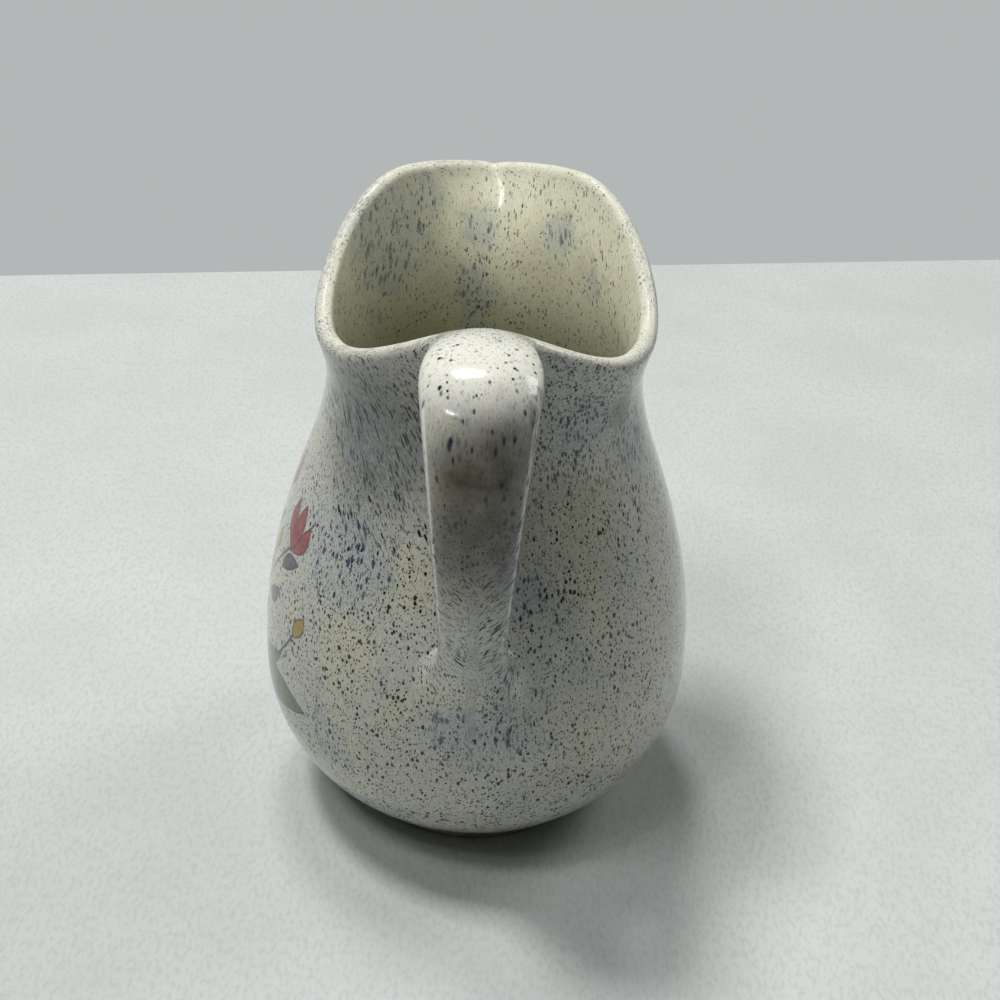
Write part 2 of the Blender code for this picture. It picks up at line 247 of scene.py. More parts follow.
def turned_pot_tree():
    """A node tree that turns an outline about the pot's axis and draws its mouth into shape."""
    tree = bpy.data.node_groups.new("turned_pot", "GeometryNodeTree")
    tree.interface.new_socket("Outline", in_out="INPUT", socket_type="NodeSocketGeometry")
    tree.interface.new_socket("Steps Around", in_out="INPUT", socket_type="NodeSocketInt")
    tree.interface.new_socket("Axis Y", in_out="INPUT", socket_type="NodeSocketFloat")
    for name in MOUTH:
        tree.interface.new_socket(name, in_out="INPUT", socket_type="NodeSocketFloat")
    tree.interface.new_socket("Finish", in_out="INPUT", socket_type="NodeSocketMaterial")
    tree.interface.new_socket("Pot", in_out="OUTPUT", socket_type="NodeSocketGeometry")
    given = Strand(tree).add("NodeGroupInput")
    steps = given.out("Steps Around")
    sizes = {name: given.out(name) for name in MOUTH}

    rows = given.add("GeometryNodeAttributeDomainSize", None, {0: given}, "Point Count")
    grid = given.add("GeometryNodeMeshGrid", None, {"Vertices X": steps + 1, "Vertices Y": rows})
    index = given.add("GeometryNodeInputIndex")
    column = ((index + 0.5) / rows).math("FLOOR")
    row = index - column * rows
    on_outline = {"data_type": "FLOAT_VECTOR", "domain": "POINT"}
    here = given.add("GeometryNodeInputPosition")
    traced = given.add("GeometryNodeSampleIndex", on_outline, {0: given, "Value": here, "Index": row})
    traced = traced.add("ShaderNodeSeparateXYZ", None, {0: traced})
    radius = traced.out("X")
    height = traced.out("Z")

    angle = (0.5 - column / steps) * math.tau
    turned = abs(angle)
    share = height.ease(sizes["Shaped From"], sizes["Shaped To"])
    lip = turned.ease(sizes["Lip End"], sizes["Lip Flat"])
    front = turned.ease(sizes["Lip End"], 0.0)
    tip = bell(turned / sizes["Tip Angle"])
    notch = bell(turned / sizes["Notch Angle"]) * share**NOTCH_SHARPNESS
    back = turned.ease(sizes["Back Start"], math.pi)
    seat = bell((math.pi - turned) / sizes["Seat Angle"])
    lift = sizes["Lip Rise"] * lip + sizes["Back Rise"] * back + sizes["Seat Rise"] * seat
    lift = lift - sizes["Tip Dip"] * tip - sizes["Notch Dip"] * notch
    flick = sizes["Tip Reach"] * tip * share**TIP_SHARPNESS
    push = sizes["Lip Reach"] * front + flick + sizes["Back Tuck"] * back
    x = radius * angle.math("SINE")
    y = radius * angle.math("COSINE") + share * share * push + given.out("Axis Y")
    placed = given.add("ShaderNodeCombineXYZ", None, {0: x, 1: y, 2: height + share * lift})

    pot = grid.add("GeometryNodeSetPosition", None, {0: grid, "Position": placed})
    for mark in ("inside", "crest"):
        named = given.add("GeometryNodeInputNamedAttribute", {"data_type": "FLOAT"}, {"Name": mark})
        on_row = {0: given, "Value": named, "Index": row}
        value = given.add("GeometryNodeSampleIndex", {"data_type": "FLOAT", "domain": "POINT"}, on_row)
        if mark == "crest":
            value = value * turned.ease(CREST_GONE, CREST_END)
        store = {"data_type": "FLOAT", "domain": "POINT"}
        pot = pot.add("GeometryNodeStoreNamedAttribute", store, {0: pot, "Name": mark, "Value": value})
    pot = pot.add("GeometryNodeMergeByDistance", None, {0: pot, "Distance": MERGE_DISTANCE})
    pot = pot.add("GeometryNodeSetShadeSmooth", None, {0: pot})
    pot = pot.add("GeometryNodeRealizeInstances", None, {0: pot})
    pot = pot.add("GeometryNodeSetMaterial", None, {0: pot, "Material": given.out("Finish")})
    pot.add("NodeGroupOutput", None, {0: pot})
    return tree


# The glaze: a glossy cream stoneware glaze, clouded with blue-grey and yellow, full of iron and cobalt
# specks. The specks are round on the belly, and soft and drawn out downwards where the blue has run.

CREAM = (0.525, 0.525, 0.465, 1)
YELLOWED = (0.63, 0.595, 0.405, 1)
CLOUDED = (0.34, 0.40, 0.43, 1)
# Pale thin glaze, also used for painted light on the strap's top and a painted highlight along its edges.
THIN_GLAZE_AND_PAINTED_LIGHT = (0.80, 0.80, 0.72, 1)
LIT_LINING = (0.96, 0.95, 0.705, 1)
SHADED_LINING = (0.49, 0.485, 0.335, 1)
GREY_GLAZE_AND_SHADE = (0.12, 0.130, 0.122, 1)
BROWN_GLAZE_AND_SHADE = (0.090, 0.077, 0.050, 1)
FAINT_FLECK = (0.075, 0.090, 0.100, 1)
COBALT_SMEAR = (0.042, 0.072, 0.130, 1)
STRAP_BLUE_AND_SHADE = (0.024, 0.030, 0.048, 1)
IRON_SPECK = (0.008, 0.007, 0.007, 1)
COBALT_SPECK = (0.012, 0.016, 0.030, 1)
# Most of these are blue glaze pooled on the wall. The ones marked below are partly painted shade.
BLUE_POOLS_AND_SHADE = (
    ((-0.0298, -0.0262, 0.0864), 0.021),
    ((0.0230, -0.0210, 0.1190), 0.012),
    ((0.0337, -0.0092, 0.1095), 0.012),
    # Beside the strap's right side: blue glaze, with painted shade from the strap.
    ((0.0110, -0.0370, 0.0835), 0.009),
    ((0.0020, -0.0448, 0.0530), 0.018),
    # Beside the lower root's right side: a painted shadow, in blue.
    ((0.0085, -0.0470, 0.0700), 0.008),
    ((-0.0030, 0.0500, 0.1350), 0.010),
    ((-0.0035, 0.0450, 0.1220), 0.011),
    ((-0.0035, 0.0400, 0.1100), 0.009),
    # Inside on the left, under the rim: blue-grey cloud, darkened as painted shade.
    ((-0.0270, 0.0350, 0.1370), 0.022),
    ((-0.0180, 0.0470, 0.1450), 0.010),
    ((0.0190, 0.0430, 0.1370), 0.010),
    ((0.0290, 0.0330, 0.1300), 0.009),
)
YELLOW_POOLS = (
    ((-0.0168, -0.0343, 0.0857), 0.014),
    ((0.0225, -0.0264, 0.0982), 0.017),
    ((-0.0282, -0.0345, 0.0661), 0.014),
    ((0.0260, -0.0380, 0.0500), 0.014),
    ((-0.0140, 0.0440, 0.1250), 0.014),
    ((0.0150, 0.0450, 0.1300), 0.016),
)
# Grey on the neck just under the rim: grey-blue glaze, darkened further as painted shade under the rim.
GREY_AND_SHADE_POOLS = (
    ((-0.0250, -0.0240, 0.1150), 0.028),
    ((0.0300, -0.0120, 0.1190), 0.007),
)
STRAP_LEAST = 0.03
SPECK_LEAST = 0.45
SPECK_RANGE = 1.1

# Each kind of speck has the size of its cells and its radius in metres, how far it is drawn out
# downwards, how soft its edge is, and a shift that keeps its cells apart from those of other kinds.
SPECKS = {
    "dabs": (0.00125, 0.00054, 3.0, 0.65, (0.11, 0.23, 0.41)),
    "smears": (0.00340, 0.00160, 4.0, 0.80, (0.53, 0.19, 0.73)),
    "hairs": (0.00055, 0.00011, 5.0, 0.50, (0.43, 0.09, 0.37)),
    "streaks": (0.00074, 0.00027, 8.0, 0.40, (0.83, 0.67, 0.21)),
    "strokes": (0.00085, 0.00020, 3.0, 0.35, (0.31, 0.17, 0.05)),
    "dashes": (0.00110, 0.00026, 2.8, 0.40, (0.91, 0.33, 0.67)),
    "pepper": (0.00066, 0.00019, 1.4, 0.35, (0.19, 0.37, 0.13)),
    "round_iron": (0.00118, 0.00031, 1.45, 0.25, (0.00, 0.00, 0.00)),
    "drawn_iron": (0.00115, 0.00029, 2.2, 0.30, (0.07, 0.53, 0.29)),
    "cobalt": (0.00300, 0.00038, 1.9, 0.60, (0.61, 0.03, 0.47)),
    "spots": (0.00185, 0.00044, 2.3, 0.70, (0.27, 0.71, 0.59)),
}


def paint(under, mask, colour):
    """The colour laid over what is under it, where the mask says."""
    return mask.add("ShaderNodeMix", {"data_type": "RGBA"}, {0: mask, 6: under, 7: colour}, 2)


def noise(place, size, detail=2.0, roughness=0.5, squash=None):
    """Smooth noise with lumps of this size, in metres, drawn out by squash along each axis."""
    if squash:
        place = place.vector("MULTIPLY", squash)
    sockets = {"Vector": place, "Scale": 1 / size, "Detail": detail, "Roughness": roughness}
    return place.add("ShaderNodeTexNoise", {"noise_dimensions": "3D"}, sockets)


def specks(kind, place, growth=1.0):
    """Specks of a kind scattered through the glaze one to a cell, their radius times the growth."""
    cell, radius, drawn, softness, shift = SPECKS[kind]
    place = place.vector("MULTIPLY_ADD", (1, 1, 1 / drawn), shift)
    settings = {"voronoi_dimensions": "3D", "feature": "F1"}
    cells = place.add("ShaderNodeTexVoronoi", settings, {"Vector": place, "Scale": 1 / cell})
    away = place.vector("DISTANCE", cells.out("Position"), out="Value")
    random = place.add("ShaderNodeSeparateColor", None, {0: cells.out("Color")})
    reach = radius * growth * (SPECK_LEAST + SPECK_RANGE * random)
    return away.ease(reach, reach * (1 - softness))


def pools(place, spots):
    """1 in the middle of the nearest of some spots, fading to 0 at its edge."""
    depth = 0.0
    for middle, radius in spots:
        away = place.vector("DISTANCE", middle, out="Value")
        depth = away.ease(radius, radius / 4).math("MAXIMUM", depth)
    return depth


def new_material(name):
    """A material, its shader, and the place on the surface in metres."""
    material = bpy.data.materials.new(name)
    material.use_nodes = True
    place = Strand(material.node_tree).add("ShaderNodeTexCoord", None, None, "Object")
    return material, material.node_tree.nodes["Principled BSDF"], place


def new_object(name, data):
    thing = bpy.data.objects.new(name, data)
    bpy.context.collection.objects.link(thing)
    return thing


glaze, glaze_shader, place = new_material("speckled_glaze")
inside = place.add("ShaderNodeAttribute", {"attribute_name": "inside"}, None, "Fac")
crest = place.add("ShaderNodeAttribute", {"attribute_name": "crest"}, None, "Fac")
on_strap = place.add("ShaderNodeAttribute", {"attribute_name": "strap"}, None, "Fac")
split = place.add("ShaderNodeSeparateXYZ", None, {0: place})
x = split.out("X")
y = split.out("Y") - AXIS.y
z = split.out("Z")

outer_wall = (1 - inside) * (1 - on_strap)
clouds = noise(place, 0.017, 3.0, 0.55, (1, 1, 0.6))
patches = noise(place, 0.012, 2.0, 0.5, (1, 1, 0.7))
wander = noise(place, 0.004, 3.0, 0.6)
strap_side = x.ease(0.0, 0.0080) * z.ease(0.080, 0.102) * z.ease(0.1455, 0.1370) * on_strap
strap_middle = abs(x).ease(0.0150, 0.0040) * z.ease(0.086, 0.113) * on_strap
strap_middle = (z - 0.5 * x).ease(0.147, 0.129) * strap_middle
strap_low = z.ease(0.112, 0.098) * on_strap
blue = clouds.ease(0.52, 0.68) * 0.7
blue = blue.math("MAXIMUM", (pools(place, BLUE_POOLS_AND_SHADE) + 1.6 * (wander - 0.5)).ease(0.15, 0.90))
blue = blue.math("MAXIMUM", strap_side * (0.4 + wander))
yellow = patches.ease(0.48, 0.68).math("MAXIMUM", pools(place, YELLOW_POOLS))
yellow = yellow * (1 - blue) * (0.35 + wander)
flow = (z + (clouds - 0.5) * 0.05).ease(0.055, 0.105)
runny = (flow * 0.85).math("MAXIMUM", blue) * (1 - 0.6 * yellow)
runny = runny.math("MAXIMUM", strap_low)
bared = 1 - 0.22 * crest

# Runs slant a little as they come down from the rim, and those on the strap draw in to its middle near
# the lower end. A fine raggedness roughens the edge of every speck.
RAGGED = 0.00026
ragged = noise(place, 0.00045, 1.0).out("Color").vector("MULTIPLY_ADD", (RAGGED, RAGGED, RAGGED), place)
ragged = place.add("ShaderNodeSeparateXYZ", None, {0: ragged})
leaning = 0.5 * (z - 0.090).math("MAXIMUM", 0.0)
run_across = ragged.out("Y") - leaning
to_middle = 0.032 * z.add("ShaderNodeMapRange", None, {0: z, 1: 0.106, 2: 0.074})
to_middle = to_middle * (1 - 2 * x.ease(-0.0015, 0.0015))
strapped = on_strap.math("GREATER_THAN", STRAP_LEAST - 0.01)
run_aside = ragged.out("X") - 0.9 * strapped * to_middle
run_aside = run_aside + 0.7 * (1 - strapped) * (1 - inside) * leaning
round_place = place.add("ShaderNodeCombineXYZ", None, {0: ragged.out("X"), 1: ragged.out("Y"), 2: z})
run_place = place.add("ShaderNodeCombineXYZ", None, {0: run_aside, 1: run_across, 2: z})

# The lining is painted as lit near the mouth and shaded deeper down and towards the sides: painted light
# and shade.
lining = paint(SHADED_LINING, (z - 0.30 * abs(x)).ease(0.096, 0.136), LIT_LINING)
colour = paint(CREAM, inside * 0.9, lining)
colour = paint(colour, yellow * 0.62, YELLOWED)
colour = paint(colour, blue * 0.42, CLOUDED)
# Painted shade under the rim on the neck, in grey glaze.
colour = paint(colour, pools(place, GREY_AND_SHADE_POOLS) * 0.8 * outer_wall, GREY_GLAZE_AND_SHADE)
fibres = noise(run_place, 0.00034, 2.0, 0.7, (1, 1, 0.18))
colour = paint(colour, fibres.ease(0.50, 0.66) * (0.30 + 0.30 * runny) * (1 - 0.5 * inside), CLOUDED)
colour = paint(colour, fibres.ease(0.46, 0.34) * 0.35 * (1 - inside), THIN_GLAZE_AND_PAINTED_LIGHT)
# The middle of the strap's outer face below the bend is painted dark: brown glaze, plus painted shade
# where the face turns down from the lamps.
colour = paint(colour, strap_middle * (0.60 + 0.6 * wander), BROWN_GLAZE_AND_SHADE)
# Paler thin glaze on the rim's crest. On the handle the crest mark lies along the strap's edges, and
# there this is a painted highlight.
colour = paint(colour, crest * (0.4 + 0.55 * on_strap), THIN_GLAZE_AND_PAINTED_LIGHT)
# The top of the strap is painted paler: painted light falling on it from above.
colour = paint(colour, z.ease(0.135, 0.144) * on_strap * 0.85, THIN_GLAZE_AND_PAINTED_LIGHT)

neck = z.ease(0.096, 0.114) * outer_wall
thin = (1 - 0.15 * inside) * (1 - 0.7 * on_strap * z.ease(0.112, 0.126)) * bared
gather = 0.70 + 0.45 * noise(place, 0.006, 2.0).ease(0.35, 0.62)
dabs = specks("dabs", run_place, 0.28 + 0.72 * blue)
colour = paint(colour, dabs * (0.35 + 0.65 * blue) * (1 - 0.25 * inside) * thin, COBALT_SMEAR)
smears = specks("smears", run_place)
# The strap's right side, turned away from the lamps, gets dark blue smears over an even painted shade.
colour = paint(colour, strap_side * (0.24 + 0.22 * dabs + 0.54 * smears), STRAP_BLUE_AND_SHADE)
grain = noise(run_place, 0.00024, 1.0, 0.6, (1, 1, 0.45)).ease(0.56, 0.70)
colour = paint(colour, grain * (0.45 + 0.15 * runny) * (1 - 0.7 * inside) * thin, FAINT_FLECK)
hairs = specks("hairs", run_place, 1 + 3 / 11 * runny)
colour = paint(colour, hairs * (0.50 + 0.45 * runny) * (1 - 0.6 * inside) * thin, FAINT_FLECK)
streaks = specks("streaks", run_place, gather)
colour = paint(colour, streaks * neck * 0.95 * thin, COBALT_SPECK)
strokes = specks("strokes", run_place, gather)
colour = paint(colour, strokes * (0.15 + 0.85 * runny) * thin, COBALT_SPECK)
dashes = specks("dashes", run_place, gather)
colour = paint(colour, dashes * strap_low, IRON_SPECK)
pepper = specks("pepper", round_place, 1 - 0.4 * inside)
colour = paint(colour, pepper * (1 - 0.4 * runny) * (1 - 0.6 * neck) * thin, IRON_SPECK)
drawn = (runny * (1 - 0.8 * inside)).ease(0.40, 0.55)
round_iron = specks("round_iron", round_place, gather * (1 - 0.35 * inside))
drawn_iron = specks("drawn_iron", run_place, gather)
iron = round_iron * (1 - drawn) + drawn_iron * drawn * (1 - 0.5 * neck)
colour = paint(colour, iron * (1 - 0.2 * inside) * thin, IRON_SPECK)
cobalt = specks("cobalt", run_place, gather * (1 + 0.35 * on_strap))
colour = paint(colour, cobalt * (1 - 0.5 * inside) * bared, COBALT_SPECK)
spots = specks("spots", run_place, gather)
colour = paint(colour, spots * on_strap * z.ease(0.104, 0.118) * 0.9 * bared, COBALT_SPECK)

# The sprig on the left side: painted on the glaze by hand before the last firing, in thin washes with a
# fine dark line round them. It is drawn in millimetres, u round the wall from the middle and v up it.

WASH = {
    "red": (0.25, 0.014, 0.022, 1),
    "slate": (0.036, 0.046, 0.062, 1),
    "sage": (0.105, 0.130, 0.062, 1),
    "ochre": (0.34, 0.22, 0.040, 1),
}
PEN_LINE = (0.020, 0.018, 0.016, 1)
STEMS = (
    ((0, 35), (0, 86), 0.0),
    ((0, 38), (20, 78), 4.0),
    ((0, 36), (29, 60), -4.0),
    ((9, 60), (9.5, 72), 1.5),
)
LEAVES = (
    ("sage", (0, 36), (35, 41), 5.2, 1.5),
    ("sage", (2, 41), (24, 51), 2.8, -2.0),
    ("sage", (0.5, 46), (11, 58), 2.2, -1.5),
    ("slate", (0.4, 58), (8, 67), 1.9, 1.5),
    ("slate", (10.5, 61), (19, 66), 1.8, -1.2),
    ("slate", (17, 71), (26, 76), 1.8, 1.4),
    ("slate", (0.4, 70), (7, 80), 1.7, 1.2),
    ("ochre", (29, 59.5), (32.5, 66), 1.8, 0.0),
    ("ochre", (9.5, 71.5), (10.5, 78), 1.6, 0.0),
    ("red", (1, 85), (6.5, 97), 2.4, -1.8),
    ("red", (0, 84.5), (0, 98), 2.8, 0.0),
    ("red", (20.5, 77.5), (27, 87), 2.1, -1.6),
    ("red", (19.5, 78), (17.5, 90), 2.1, 1.6),
    ("red", (20, 77), (22.5, 90), 2.5, 0.0),
)
MM_PER_RADIAN = 48
u = MM_PER_RADIAN * (-y).math("ARCTAN2", -x)
u = abs(u + (wander - 0.5) * 0.8)
v = z * 1000 + (noise(place, 0.007) - 0.5) * 1.4
outside_left = (1 - inside) * x.ease(0.0, -0.001)


def along_and_across(start, end):
    """Where (u, v) is along a stroke, from 0 to 1, and how far to its left, in millimetres."""
    start, end = Vector(start), Vector(end)
    way = (end - start).normalized()
    length = (end - start).length
    along = (u * way.x + v * way.y - start.dot(way)) / length
    across = v * way.x - u * way.y - (start.y * way.x - start.x * way.y)
    return along, across, length


wash_depth = 0.93 + 0.5 * (noise(place, 0.003, 3.0, 0.6) - 0.5)
for start, end, bow in STEMS:
    along, across, length = along_and_across(start, end)
    beyond = (abs(along - 0.5) - 0.5) * length
    stroke = abs(across - 4 * bow * along * (1 - along)).math("MAXIMUM", beyond)
    colour = paint(colour, stroke.ease(0.50, 0.25) * outside_left * 0.9, PEN_LINE)
for wash, start, end, half_width, bow in LEAVES:
    along, across, length = along_and_across(start, end)
    bulge = 4 * along * (1 - along)
    edge = abs(across - bow * bulge) - half_width * bulge
    colour = paint(colour, edge.ease(0.10, -0.15) * wash_depth * outside_left, WASH[wash])
    colour = paint(colour, abs(edge + 0.05).ease(0.32, 0.12) * outside_left * 0.75, PEN_LINE)

ripple = noise(place, 0.009, 2.0, 0.5)
bump = place.add("ShaderNodeBump", None, {"Strength": 0.25, "Distance": 0.0006, "Height": ripple})
finish = {
    "Base Color": colour,
    "Roughness": 0.08 + 0.08 * patches + 0.08 * iron + 0.25 * crest,
    "Coat Weight": 0.2 - 0.15 * crest,
    "Normal": bump,
    "IOR": 1.46,
    "Coat Roughness": 0.04,
}
feed(glaze_shader, finish)

pot = new_object("glazed_pot", outline_mesh)
turning = pot.modifiers.new("turning", "NODES")
turning.node_group = turned_pot_tree()
settings = {"Steps Around": STEPS_AROUND, "Axis Y": AXIS.y, "Finish": glaze, **MOUTH}
for item in turning.node_group.interface.items_tree:
    if item.name in settings:
        turning[item.identifier] = settings[item.name]
depsgraph = bpy.context.evaluated_depsgraph_get()
evaluated = pot.evaluated_get(depsgraph)
pot_mesh = bpy.data.meshes.new_from_object(evaluated, preserve_all_data_layers=True, depsgraph=depsgraph)
pot.modifiers.remove(turning)
pot.data = pot_mesh
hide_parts("jug_body")
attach(pot, "root")

# The handle: a strap of the same clay, pulled, bent and luted with slip to the rim's lifted back and to
# the belly, its ends wiped out on to the wall before the whole jug was glazed. It is lofted here
# ring by ring along its bow, each end spread out until it lies flat on the wall.

STRAP_STEPS = 128
STRAP_RINGS = 72
FLARE_RINGS = 26
BEND_WIDTH = 0.0250
LOW_WIDTH = 0.0140
TOP_THICKNESS = 0.0105
LOW_THICKNESS = 0.0085
SQUARENESS = 3.6
LOW_SQUARENESS = 2.3
CROWN = 0.0010
STRAP_START = 0.14
STRAP_END = 0.80
FLARE_PULL = 0.50
ROOT_PULL = 0.20
FEATHERED = 0.00006
SUNK = 0.0008
TAPER_START = 0.17
TAPER_END = 0.95
TAPER_EASE = 1.5
ROUNDING_START = 0.35
ROUNDING_END = 0.75
EDGE_ANGLE = math.radians(65)
EDGE_WIDTH = math.radians(5)
EDGE_FADE_RINGS = 12
UPPER_ROOT_DROP = 0.017
UPPER_ROOT_OVER_CREST = 0.2
UPPER_ROOT_WIDTH = 0.0240
UPPER_ROOT_SQUARENESS = 3.4
LOWER_ROOT_LOW = 0.0490
LOWER_ROOT_HIGH = 0.0745
LOWER_ROOT_WIDTH = 0.0290
LOWER_ROOT_SQUARENESS = 2.2
STRAP_END_HEIGHT = 0.0625
SHOULDER_PULL = Vector((0, -0.0445, 0.0106))
KNEE_PULL = Vector((0, -0.0125, 0.0285))


def wall_point(s, angle):
    """A point of the shaped outer wall at the back. The angle is taken from the lip."""
    radius, height = wall_outline(s)
    share = smooth_ramp(height, MOUTH["Shaped From"], MOUTH["Shaped To"])
    off_back = abs(math.pi - angle)
    back = smooth_ramp(off_back, math.pi - MOUTH["Back Start"], 0)
    seat = math.exp(-((off_back / MOUTH["Seat Angle"]) ** 2))
    lifted = height + share * (MOUTH["Back Rise"] * back + MOUTH["Seat Rise"] * seat)
    tucked = radius * math.cos(angle) + share * share * MOUTH["Back Tuck"] * back
    return Vector((radius * math.sin(angle), tucked, lifted)) + AXIS


def wall_normal(s, angle):
    up = wall_point(s + STEP, angle) - wall_point(s - STEP, angle)
    along = wall_point(s, angle + STEP) - wall_point(s, angle - STEP)
    return up.cross(along).normalized()


def stretch_at(height):
    """The s at which the back of the wall reaches a height."""
    low, high = 0.0, float(RIM_START)
    for _ in range(40):
        middle = (low + high) / 2
        if wall_point(middle, math.pi).z < height:
            low = middle
        else:
            high = middle
    return low


def squared(around, squareness):
    """A point of a unit ring that is squarer than a circle."""
    across, through = math.cos(around), math.sin(around)
    across = math.copysign(abs(across) ** (2 / squareness), across)
    return across, math.copysign(abs(through) ** (2 / squareness), through)


class Root:
    """The patch of the wall that one end of the handle spreads out on. Its sense is 1 where the strap's
    outer side meets the top of the patch, and -1 where it meets the bottom."""

    def __init__(self, low, high, width, squareness, sense):
        self.middle = (low + high) / 2
        self.half = (high - low) / 2
        self.width = width
        self.squareness = squareness
        self.sense = sense

    def point(self, around, share, lift=0.0):
        across, through = squared(around, self.squareness)
        s = self.middle + self.half * share * self.sense * through
        angle = math.pi - share * self.width / 2 * across / wall_outline(s).x
        return wall_point(s, angle) + wall_normal(s, angle) * lift

    def outward(self, around):
        return (self.point(around, 1.0) - self.point(around, 0.98)).normalized()


ring_angles = [math.tau * i / STRAP_STEPS for i in range(STRAP_STEPS)]
crest_back = wall_point(RIM_CREST, math.pi)
upper_root = Root(
    stretch_at(crest_back.z - UPPER_ROOT_DROP),
    RIM_CREST + UPPER_ROOT_OVER_CREST,
    UPPER_ROOT_WIDTH,
    UPPER_ROOT_SQUARENESS,
    1,
)
lower_root = Root(
    stretch_at(LOWER_ROOT_LOW),
    stretch_at(LOWER_ROOT_HIGH),
    LOWER_ROOT_WIDTH,
    LOWER_ROOT_SQUARENESS,
    -1,
)
strap_start = crest_back - Vector((0, 0, TOP_THICKNESS / 2))
strap_end = wall_point(stretch_at(STRAP_END_HEIGHT), math.pi)
shoulder = strap_start + SHOULDER_PULL
knee = strap_end + KNEE_PULL


def strap_centre(t):
    return bezier(strap_start, shoulder, knee, strap_end, t)


def strap_heading(t):
    return (strap_centre(t + STEP) - strap_centre(t - STEP)).normalized()


def strap_ring(t):
    """The strap's outline across its way, at a share t of its bow."""
    heading = strap_heading(t)
    out = Vector((0, heading.z, -heading.y))
    left = ramp(t, TAPER_END, TAPER_START)
    width = LOW_WIDTH + (BEND_WIDTH - LOW_WIDTH) * left**TAPER_EASE
    thickness = TOP_THICKNESS + (LOW_THICKNESS - TOP_THICKNESS) * t
    rounded = ramp(t, ROUNDING_START, ROUNDING_END)
    squareness = SQUARENESS + (LOW_SQUARENESS - SQUARENESS) * rounded
    ring = []
    for around in ring_angles:
        across, through = squared(around, squareness)
        rise = through * thickness / 2 - CROWN * across**2 * max(through, 0)
        ring.append(strap_centre(t) + Vector((across * width / 2, 0, 0)) + out * rise)
    return ring


def flare(root, ring, heading):
    """Rings that spread an end of the strap out until it lies flat on the wall."""
    rings = []
    for step in range(1, FLARE_RINGS + 1):
        t = step / FLARE_RINGS
        points = []
        for around, start in zip(ring_angles, ring):
            end = root.point(around, 1.0, -FEATHERED)
            reach = (end - start).length
            start_pull = start + heading * FLARE_PULL * reach
            end_pull = end - root.outward(around) * ROOT_PULL * reach
            points.append(bezier(start, start_pull, end_pull, end, t))
        rings.append(points)
    rings.append([root.point(around, 0.97, -SUNK) for around in ring_angles])
    return rings


free_run = [strap_ring(t) for t in spread(STRAP_START, STRAP_END, STRAP_RINGS) + [STRAP_END]]
top_flare = flare(upper_root, free_run[0], -strap_heading(STRAP_START))
low_flare = flare(lower_root, free_run[-1], strap_heading(STRAP_END))
strap = bmesh.new()
rings = [[strap.verts.new(p) for p in ring] for ring in top_flare[::-1] + free_run + low_flare]
for lower_ring, upper_ring in zip(rings, rings[1:]):
    for i in range(STRAP_STEPS):
        j = (i + 1) % STRAP_STEPS
        strap.faces.new((lower_ring[i], lower_ring[j], upper_ring[j], upper_ring[i]))
for ring in (rings[1], rings[-2]):
    for i in range(STRAP_STEPS):
        strap.edges.get((ring[i], ring[(i + 1) % STRAP_STEPS])).smooth = False
for ring, root in ((rings[0], upper_root), (rings[-1], lower_root)):
    middle = strap.verts.new(root.point(0, 0, -2 * SUNK))
    for i in range(STRAP_STEPS):
        strap.faces.new((ring[i], ring[(i + 1) % STRAP_STEPS], middle))
bmesh.ops.recalc_face_normals(strap, faces=strap.faces[:])
handle_mesh = bpy.data.meshes.new("glazed_handle")
strap.to_mesh(handle_mesh)
# The crest mark on the handle: pale lines along the strap's two edges, fading towards its ends, as a
# painted highlight.
edge_highlight = handle_mesh.attributes.new("crest", "FLOAT", "POINT")
for ring in range(len(free_run)):
    fade = min(ring, STRAP_RINGS - ring, EDGE_FADE_RINGS) / EDGE_FADE_RINGS
    first = (ring + len(top_flare)) * STRAP_STEPS
    for i, around in enumerate(ring_angles):
        off_edge = (abs(math.pi / 2 - around) - EDGE_ANGLE) / EDGE_WIDTH
        edge_highlight.data[first + i].value = fade * math.exp(-(off_edge**2))
strap_mark = handle_mesh.attributes.new("strap", "FLOAT", "POINT")
for ring in range(len(rings)):
    past_top = len(top_flare) - ring
    past_low = ring - len(top_flare) - STRAP_RINGS
    spread_out = max(past_top, past_low, 0) / FLARE_RINGS
    for i in range(STRAP_STEPS):
        strap_mark.data[ring * STRAP_STEPS + i].value = min(max(1.25 - 1.4 * spread_out, STRAP_LEAST), 1)
strap.free()
handle_mesh.shade_smooth()
handle_mesh.materials.append(glaze)
handle = new_object("glazed_handle", handle_mesh)
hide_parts("handle", "upper_slip_joint", "lower_slip_joint")
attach(handle, "root")

# The foot ring: the narrow ring of bare stoneware that the jug stands on, wiped clean of glaze before
# firing. It is turned here with softened edges, and left matt and gritty.

RING_OUTER = foot_high.x
RING_INNER = RING_OUTER - 0.006
RING_HEIGHT = 0.0034
RING_EASE = 0.0009
RING_STEPS = 180
CORNER_STEPS = 8
SHADED_BARE_CLAY = (0.25, 0.23, 0.19, 1)
TOASTED = (0.18, 0.155, 0.12, 1)
GRITTY = (0.09, 0.075, 0.06, 1)
ring_outline = []
quarter = math.pi / 2
for centre, begin in ((RING_INNER + RING_EASE, math.pi), (RING_OUTER - RING_EASE, 3 * quarter)):
    for i in range(CORNER_STEPS + 1):
        angle = begin + quarter * i / CORNER_STEPS
        across, up = math.cos(angle), math.sin(angle)
        ring_outline.append(Vector((centre + RING_EASE * across, 0, RING_EASE + RING_EASE * up)))
ring_outline.append(Vector((RING_OUTER, 0, RING_HEIGHT)))
ring_outline.append(Vector((RING_INNER, 0, RING_HEIGHT)))
ring_build = bmesh.new()
loops = []
for i in range(RING_STEPS):
    turn = Matrix.Rotation(math.tau * i / RING_STEPS, 3, "Z")
    loops.append([ring_build.verts.new(turn @ p + AXIS) for p in ring_outline])
